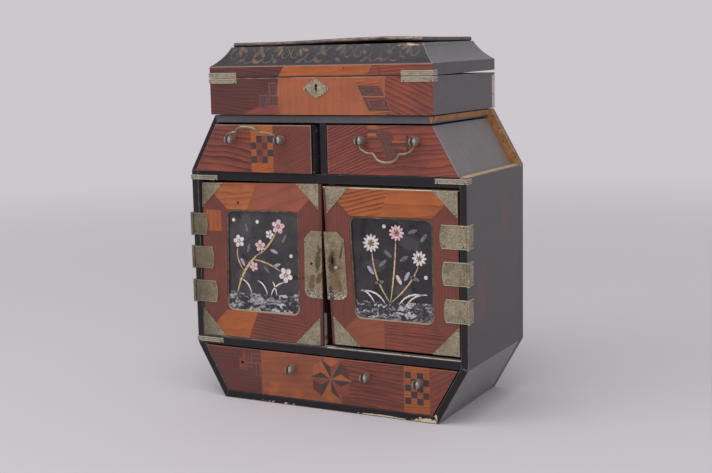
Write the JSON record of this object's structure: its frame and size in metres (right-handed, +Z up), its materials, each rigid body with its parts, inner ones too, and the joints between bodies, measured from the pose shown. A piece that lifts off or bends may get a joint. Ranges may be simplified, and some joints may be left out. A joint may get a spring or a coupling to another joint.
{
  "type": "jewelry chest",
  "caption": "Table cabinet for jewellery with an eight-sided front: lift-up coved lid, small bail-pulled drawers, panelled doors over inner drawers and a long foot drawer.",
  "frame": {"origin": "centre of the case's flat base, between its side knees and midway from the front edges to the back panel's rear face", "axes": "+X to the viewer's right, +Y to the back, +Z up"},
  "size_m": [0.3306, 0.1926, 0.3919],
  "materials": {
    "black_lacquer": "worn satin lacquer",
    "grey_lacquer": "dull worn lacquer",
    "raw_wood": "bare softwood",
    "parquetry": "waxed veneer",
    "panel_lacquer": "polished black lacquer with pearl",
    "panel_bead": "dull gilt bead",
    "fitting_metal": "tarnished engraved white metal",
    "bright_metal": "rubbed white metal"
  },
  "bodies": {
    "case": {"case_bottom_board": "black_lacquer", "case_top_board": "black_lacquer", "case_foot_boards": "black_lacquer", "case_side_boards": "black_lacquer", "case_left_shoulder_board": "black_lacquer", "case_back_panel": "grey_lacquer", "upper_shelf": "black_lacquer", "lower_shelf": "black_lacquer", "upper_divider": "black_lacquer", "inner_drawer_case": "raw_wood", "box_front_board": "parquetry", "box_side_boards": "grey_lacquer", "box_rear_board": "grey_lacquer", "box_floor_board": "raw_wood", "box_keyhole_plate": "fitting_metal", "box_lock_case": "fitting_metal", "corner_straps": "fitting_metal", "door_hinge_case_leaves": "fitting_metal", "door_hinge_pins": "fitting_metal", "lid_hinge_box_leaves": "fitting_metal", "lid_hinge_pins": "fitting_metal"},
    "lid": {"lid_rim_boards": "parquetry", "lid_cove_mouldings": "black_lacquer", "lid_top_board": "black_lacquer", "lid_lock_staple": "fitting_metal", "lid_corner_straps": "fitting_metal", "lid_hinge_lid_leaves": "fitting_metal"},
    "left_door": {"left_door_frame": "parquetry", "left_door_lacquer_panel": "panel_lacquer", "left_door_panel_moulding": "panel_bead", "left_door_corner_plates": "fitting_metal", "left_door_hinge_leaves": "fitting_metal", "left_door_lock_plate": "fitting_metal"},
    "right_door": {"right_door_frame": "parquetry", "right_door_lacquer_panel": "panel_lacquer", "right_door_panel_moulding": "panel_bead", "right_door_corner_plates": "fitting_metal", "right_door_hinge_leaves": "fitting_metal", "right_door_lock_plate": "fitting_metal", "right_door_knob": "bright_metal", "right_door_lock_case": "fitting_metal"},
    "left_drawer": {"left_drawer_front": "parquetry", "left_drawer_tray": "grey_lacquer", "left_drawer_bosses": "bright_metal"},
    "left_bail": {"left_bail": "bright_metal"},
    "right_drawer": {"right_drawer_front": "parquetry", "right_drawer_tray": "grey_lacquer", "right_drawer_bosses": "bright_metal"},
    "right_bail": {"right_bail": "bright_metal"},
    "long_drawer": {"long_drawer_front": "parquetry", "long_drawer_tray": "grey_lacquer", "long_drawer_bosses": "bright_metal"},
    "inner_drawer_low_left": {"inner_drawer_low_left": "parquetry", "inner_knob_low_left": "bright_metal"},
    "inner_drawer_high_left": {"inner_drawer_high_left": "parquetry", "inner_knob_high_left": "bright_metal"},
    "inner_drawer_low_right": {"inner_drawer_low_right": "parquetry", "inner_knob_low_right": "bright_metal"},
    "inner_drawer_high_right": {"inner_drawer_high_right": "parquetry", "inner_knob_high_right": "bright_metal"}
  },
  "joints": [
    {"name": "lid_hinge", "type": "hinge", "parent": "case", "child": "lid", "pos_m": [0, 0.0814, 0.35247], "axis": [-1, 0, 0], "range_deg": [0, 105]},
    {"name": "left_door_hinge", "type": "hinge", "parent": "case", "child": "left_door", "pos_m": [-0.16365, -0.08065, 0.1555], "axis": [0, 0, -1], "range_deg": [0, 240]},
    {"name": "right_door_hinge", "type": "hinge", "parent": "case", "child": "right_door", "pos_m": [0.16365, -0.08065, 0.1555], "axis": [0, 0, 1], "range_deg": [0, 240]},
    {"name": "left_drawer_slide", "type": "slide", "parent": "case", "child": "left_drawer", "axis": [0, -1, 0], "range_m": [-0.006, 0.105]},
    {"name": "right_drawer_slide", "type": "slide", "parent": "case", "child": "right_drawer", "axis": [0, -1, 0], "range_m": [0, 0.11]},
    {"name": "long_drawer_slide", "type": "slide", "parent": "case", "child": "long_drawer", "axis": [0, -1, 0], "range_m": [0, 0.11]},
    {"name": "left_bail_swing", "type": "hinge", "parent": "left_drawer", "child": "left_bail", "pos_m": [-0.0734, -0.0919, 0.287], "axis": [-1, 0, 0], "range_deg": [-140, 20]},
    {"name": "right_bail_swing", "type": "hinge", "parent": "right_drawer", "child": "right_bail", "pos_m": [0.0783, -0.0859, 0.287], "axis": [-1, 0, 0], "range_deg": [-8, 150]},
    {"name": "inner_drawer_low_left_slide", "type": "slide", "parent": "case", "child": "inner_drawer_low_left", "axis": [0, -1, 0], "range_m": [0, 0.0925]},
    {"name": "inner_drawer_high_left_slide", "type": "slide", "parent": "case", "child": "inner_drawer_high_left", "axis": [0, -1, 0], "range_m": [0, 0.0925]},
    {"name": "inner_drawer_low_right_slide", "type": "slide", "parent": "case", "child": "inner_drawer_low_right", "axis": [0, -1, 0], "range_m": [0, 0.0925]},
    {"name": "inner_drawer_high_right_slide", "type": "slide", "parent": "case", "child": "inner_drawer_high_right", "axis": [0, -1, 0], "range_m": [0, 0.0925]}
  ],
  "couplings": [
    {"joint": "inner_drawer_low_left_slide", "follows": "left_door_hinge", "m_per_rad": 0.022},
    {"joint": "inner_drawer_high_left_slide", "follows": "left_door_hinge", "m_per_rad": 0.022},
    {"joint": "inner_drawer_low_right_slide", "follows": "right_door_hinge", "m_per_rad": 0.022},
    {"joint": "inner_drawer_high_right_slide", "follows": "right_door_hinge", "m_per_rad": 0.022}
  ]
}
